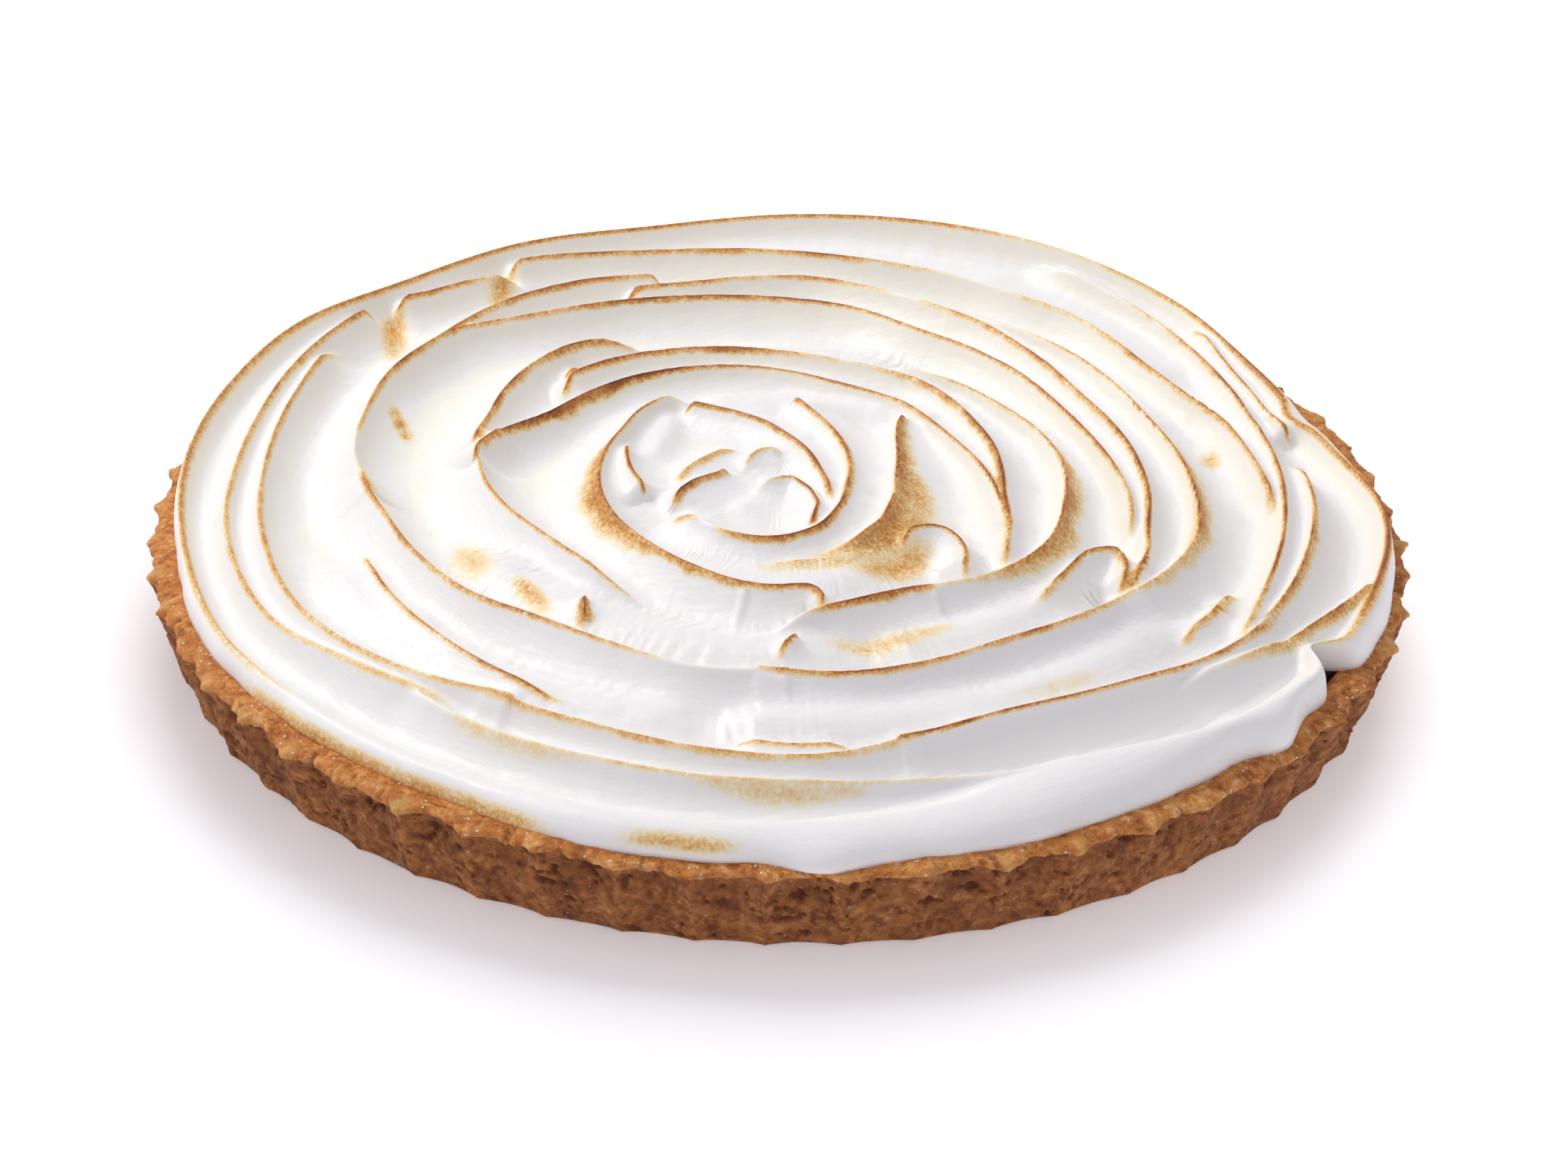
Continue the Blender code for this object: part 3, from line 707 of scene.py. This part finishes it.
def nearStrokes(points, strokes):
    # what each stroke does to the points near it: index, distance, side (1 is inside), place along, its height
    # there and how far it is to the stroke's nearer end
    for stroke in strokes:
        index, distance, side, along, length = nearLine(points, stroke["line"], mound["reach"][1])
        rising, dying = stroke["fades"]
        height = stroke["lift"] * smooth(-1.5, rising, along * length) * smooth(-1.5, dying, (1 - along) * length)
        yield stroke, index, distance, side, along, height, np.minimum(along, 1 - along) * length


def merged(first, second):
    # the higher of two closenesses, rounded where they are alike
    power = mound["blend"]
    return (first ** power + second ** power) ** (1 / power)


def swirl(points, radius, angle, strokes):
    # for plan points in mm: closeness to the crests from 0 to 1, the thin fins on them, and the nearest crest
    inner, outer = mound["reach"]
    bulk, fins, nearest = np.zeros(len(points)), np.zeros(len(points)), np.full(len(points), 99.0)
    for stroke, index, distance, side, along, height, fromEnd in nearStrokes(points, strokes):
        soft = np.sqrt(distance ** 2 + mound["rounding"] ** 2) - mound["rounding"]
        reach = outer + (inner - outer) * (0.5 + 0.5 * side)
        close = height * np.clip(1 - soft / reach, 0, 1) ** mound["power"]
        bulk[index] = merged(bulk[index], close)
        fins[index] = np.maximum(fins[index], height * np.exp(-soft / mound["finWidth"]))
        nearest[index] = np.minimum(nearest[index], distance + (1 - height) * 2)
    for marks, width, lift in swells:
        index, distance, side, along, length = nearLine(points, curlLine(marks, 20), 3 * width)
        ends = smooth(-width, 1.6 * width, np.minimum(along, 1 - along) * length)
        bulk[index] = merged(bulk[index], lift * ends * np.exp(-(distance / width) ** 2))
    # the outer edge is a crest too, softly rounded where the meringue rolls over the rim
    offset = np.abs(radius - edgeAt(angle))
    blunt = around(mound["edgeRounding"], angle)
    soft = np.sqrt(offset ** 2 + blunt ** 2) - blunt
    bulk = merged(bulk, np.clip(1 - soft / inner, 0, 1) ** mound["power"])
    sharp = smooth(1.5, 0.5, blunt)
    fins = np.maximum(fins, np.exp(-soft / mound["finWidth"]) * sharp + (1 - sharp) * np.exp(-soft / 4))
    return np.minimum(bulk, 1), fins, np.minimum(nearest, offset)


def crestTint(points, radius, angle, rise, strokes):
    # browning from 0 to 1 that runs down from each crest, measured along the surface
    tint = np.zeros(len(points))
    level, depth = moundRise(radius, angle), grooveDepth(radius)
    flat = np.column_stack([points, 0 * radius])
    uneven = np.clip(0.95 + 0.5 * cloudy(flat, 11, 3, 15.0), 0.4, 1.15)
    ragged = np.clip(1 + 0.22 * cloudy(flat, 1.6, 2, 18.0) + 0.3 * cloudy(flat, 8, 2, 27.0), 0.5, 1.5)
    for stroke, index, distance, side, along, height, fromEnd in nearStrokes(points, strokes):
        drop = np.maximum(level[index] - depth[index] * (1 - height) - rise[index], 0)
        reach = np.sqrt(distance ** 2 + drop ** 2)
        inside, outside = (through(np.atleast_1d(width), along) for width in stroke["widths"])
        width = outside + (inside - outside) * (0.5 + 0.5 * side)
        ends = smooth(-0.5, 1.5, fromEnd) * smooth(0.3, 0.8, height / stroke["lift"])
        paler = 1 - 0.25 * smooth(1.2, 2.2, width)
        line = mound["crestLine"] * np.exp(-(reach / mound["lineWidth"]) ** 2) * paler
        wide = mound["bandWidth"] * width ** 1.7 * ragged[index]
        band = mound["crestBand"] * smooth(1.4, 0.25, reach / wide)
        amount = through(stroke["brown"], along) * uneven[index] * np.maximum(line, band) * ends
        tint[index] = np.maximum(tint[index], amount)
    offset = np.abs(radius - edgeAt(angle))
    reach = np.sqrt(offset ** 2 + np.maximum(level - rise, 0) ** 2)
    line = np.exp(-(reach / around(mound["edgeBand"], angle)) ** 2)
    return np.maximum(tint, around(mound["edgeToast"], angle) * line)


def patchTint(points):
    # browning of the patches that lie off the crests
    tint = np.zeros(len(points))
    for start, end, radii, widths, strengths in patches:
        line = ridgeLine(start, end, radii)
        index, distance, side, along, length = nearLine(points, line, 3 * max(widths))
        ends = np.minimum(along, 1 - along) * length
        strength = mound["patchStrength"] * through(strengths, along)
        fade = strength * np.exp(-(distance / through(widths, along)) ** 2) * smooth(-3, 3, ends)
        tint[index] = np.maximum(tint[index], fade)
    return tint


def ringRadii(columns, strokes):
    # for each column the radii of its rings, drawn together where crests lie
    coarse, steps = 240, 260
    angle = np.repeat(np.arange(coarse) * 360 / coarse, steps)
    edge = edgeAt(angle)
    radius = np.tile(np.linspace(0, 1, steps), coarse) * edge
    turn = np.radians(angle)
    points = np.stack([radius * np.cos(turn), radius * np.sin(turn)], axis=1)
    nearest = swirl(points, radius, angle, strokes)[2].reshape(coarse, steps)
    density = 1 + mound["crowding"] * np.exp(-(nearest / mound["crowdingReach"]) ** 2)
    density = sum(np.roll(density, turn, axis=0) * (4 - abs(turn)) for turn in range(-3, 4)) / 16
    total = np.cumsum(density, axis=1)
    total = (total - total[:, :1]) / (total[:, -1:] - total[:, :1])
    want = np.linspace(0, 1, mound["rings"] + 1)[1:]
    share = np.array([np.interp(want, row, np.linspace(0, 1, steps)) for row in total])
    share = np.concatenate([share, share[:1]])
    place = np.arange(columns) * coarse / columns
    left = place.astype(int)
    part = (place - left)[:, None]
    share = share[left] * (1 - part) + share[left + 1] * part
    return share * edgeAt(np.arange(columns) * 360 / columns)[:, None]


def outerSide(angle, edge, top, crestToast):
    # rows from the edge down to the foot, a quarter round, then inside the case to its floor: radius, rise and
    # browning of each
    middle, half, depth = mound["notches"][0]
    gap = 2 * depth * np.exp(-((angle - middle) / half) ** 2)
    foot = around(mound["foot"], angle) - gap
    ring = np.stack([np.cos(np.radians(angle)), np.sin(np.radians(angle)), 0 * angle], axis=1)
    foot += mound["uneven"] * cloudy(ring * 10, 1, 3, 4.4)
    for middle, half, reach in mound["toes"]:
        foot += reach * np.exp(-((angle - middle) / half) ** 2)
    start, end, (rising, dying) = footToast["start"], footToast["end"], footToast["fade"]
    band = footToast["strength"] * smooth(start, start + rising, angle) * smooth(end, end - dying, angle)
    patch = footToast["patchStrength"] * np.exp(-((angle - footToast["patchAngle"]) / footToast["patchHalf"]) ** 4)
    rows = []
    for i in range(1, mound["sideRows"] + 1):
        bend = i / mound["sideRows"] * pi / 2
        radius = edge + (foot - edge) * sin(bend)
        rise = -mound["lap"] + (top + mound["lap"]) * cos(bend)
        low = smooth(footToast["reach"], 0.15, np.maximum(rise, 0) / np.maximum(top, 1))
        line = crestToast * np.exp(-(np.hypot(radius - edge, rise - top) / 0.9) ** 1.6)
        spot = patch * np.exp(-((rise - footToast["patchRise"]) / footToast["patchHeight"]) ** 2)
        rows.append((radius, rise, np.maximum(np.maximum(line, band * low), spot)))
    wall = (rimRadius - pastry["rimWidth"]) / mm + 0.1
    for span, level in ((wall, -1.5), (wall - 6, (pastry["floor"] - rimTop) / mm + 0.3)):
        rows.append((span - gap, level + 0 * angle, 0 * angle))
    return [np.concatenate(parts) for parts in zip(*rows)]


def makeMeringue():
    columns, rings = mound["columns"], mound["rings"]
    angle = np.arange(columns) * 360 / columns
    strokes = makeStrokes()
    radius = ringRadii(columns, strokes).T.ravel()
    theta = np.tile(angle, rings)
    turn = np.radians(theta)
    points = np.stack([radius * np.cos(turn), radius * np.sin(turn)], axis=1)
    bulk, fins, nearest = swirl(points, radius, theta, strokes)
    fin = mound["fin"]
    rise = moundRise(radius, theta) - (grooveDepth(radius) - fin) * (1 - bulk) - fin * (1 - fins)
    (wobbleSize, wobble), (rippleSize, ripple) = mound["wobble"], mound["ripple"]
    soft = wobble * cloudy(np.column_stack([points, 0 * radius]), wobbleSize, 2, 6.0) * (1 - bulk)
    rise += soft + ripple * cloudy(np.column_stack([points, rise]), rippleSize, 2, 8.0) * (1 - fins)
    toast = np.maximum(crestTint(points, radius, theta, rise, strokes), patchTint(points))

    # painted warm shade on the slopes that face the middle
    grid = rise.reshape(rings, columns)
    run = np.maximum(np.gradient(radius.reshape(rings, columns), axis=0), 0.05)
    cream = smooth(0.2, 1.1, np.gradient(grid, axis=0) / run).ravel()

    sideRadius, sideRise, sideToast = outerSide(angle, radius[-columns:], rise[-columns:], toast[-columns:])
    radius, rise = np.concatenate([radius, sideRadius]), np.concatenate([rise, sideRise])
    turn = np.radians(np.tile(angle, len(radius) // columns))
    height = np.minimum(rimTop + rise * mm, pieTop - 0.02 * mm)
    points = np.stack([radius * mm * np.cos(turn), radius * mm * np.sin(turn), height], axis=1)
    centre = np.array([[0, 0, height[:columns].mean()]])
    base = np.array([[0, 0, height[-1]]])
    points = np.concatenate([centre, points, base])
    end, plain = np.zeros(1), 0 * sideToast
    marks = dict(toast=np.concatenate([end, toast, sideToast, end]),
                 groove=np.concatenate([end, 1 - bulk, plain, end]),
                 cream=np.concatenate([end, cream, plain, end]))
    meringue = lattice("meringue_swirled", points, len(radius) // columns, columns, marks)
    meringue.data.materials.append(meringueMaterial())
    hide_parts("meringue")
    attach(meringue, "root")
    print("meringue:", len(meringue.data.polygons), "faces")


skin = dict(
    roughness=0.42, softness=0.5, bleed=(1.0, 0.78, 0.5), bleedScale=1.0 * mm,
    speckle=0.8 * mm, cloud=3.5 * mm, gloss=2 * mm, bubbles=0.7 * mm, soft=3.5 * mm,
    streak=1.6 * mm, streaksRound=7.0, bump=0.25 * mm,
    # the second colour is painted warm shade for the slopes that face the middle
    # the third colour is a pale yellow tint for the deepest grooves
    white=(250, 249, 248), cream=(249, 243, 229), lemon=(250, 246, 222),
    # from barely warm to nearly black, by how far the torch browned it
    browned=[(0.0, (251, 244, 230)), (0.12, (248, 230, 192)), (0.27, (236, 196, 128)), (0.46, (214, 156, 76)),
             (0.64, (186, 112, 44)), (0.82, (146, 76, 26)), (1.0, (98, 46, 15))],
)


def meringueMaterial():
    shader = Shader("torched_meringue", skin["roughness"], Subsurface_Weight=skin["softness"],
                    Subsurface_Radius=skin["bleed"], Subsurface_Scale=skin["bleedScale"])
    toast, groove, cream = (shader.attribute(name) for name in ("toast", "groove", "cream"))
    speckle = shader.noise(skin["speckle"], 3, 0.65)
    cloud = shader.noise(skin["cloud"], 3, 0.6)
    uneven = (speckle - 0.5) * 1.7 + (cloud - 0.5) * 0.8
    amount = toast + uneven * (toast.ranged(0.02, 0.35) - toast.ranged(0.45, 0.85) * 0.6) * 0.6
    # painted warm shade: slopes that face the middle turn warmer, and a little more in the grooves
    white = shader.mix(cream * 0.8 + groove * cream * 0.2, byte(*skin["white"]), byte(*skin["cream"]))
    # a pale yellow tint in the deepest grooves
    white = shader.mix(groove.ranged(0.8, 1.0) * 0.5, white, byte(*skin["lemon"]))
    colour = shader.ramp(amount, [(place, byte(*tone)) for place, tone in skin["browned"]])
    colour = shader.mix(amount.ranged(0.0, 0.12), white, colour)
    shader.feed("Base Color", colour)
    shader.feed("Roughness", 0.5 - shader.noise(skin["gloss"], 2).ranged(0.5, 0.7) * 0.2)
    # fine streaks left by the knife run round the pie, with small bubbles between them
    place = shader.place()
    across, back = (shader.node("ShaderNodeSeparateXYZ", {}, [place], i) for i in (0, 1))
    radius = (across * across + back * back) ** 0.5
    rounds = skin["streaksRound"]
    polar = {0: radius * (1 / skin["streak"]), 1: across * rounds * radius ** -1.0, 2: back * rounds * radius ** -1.0}
    streaks = shader.noise(1.0, 3, 0.6, where=shader.node("ShaderNodeCombineXYZ", {}, polar))
    bubbles = shader.noise(skin["bubbles"], 2, 0.5)
    soft = shader.noise(skin["soft"], 3, 0.5)
    relief = bubbles * 0.3 + soft * 0.7 + streaks * 0.9 + toast * speckle * 0.6
    shader.feed("Normal", shader.bump(relief, skin["bump"], 0.7))
    return shader.material


makeCamera()
makeLights(makeFloor())
print("camera, lights and floor placed")
makePastry()
makeMeringue()
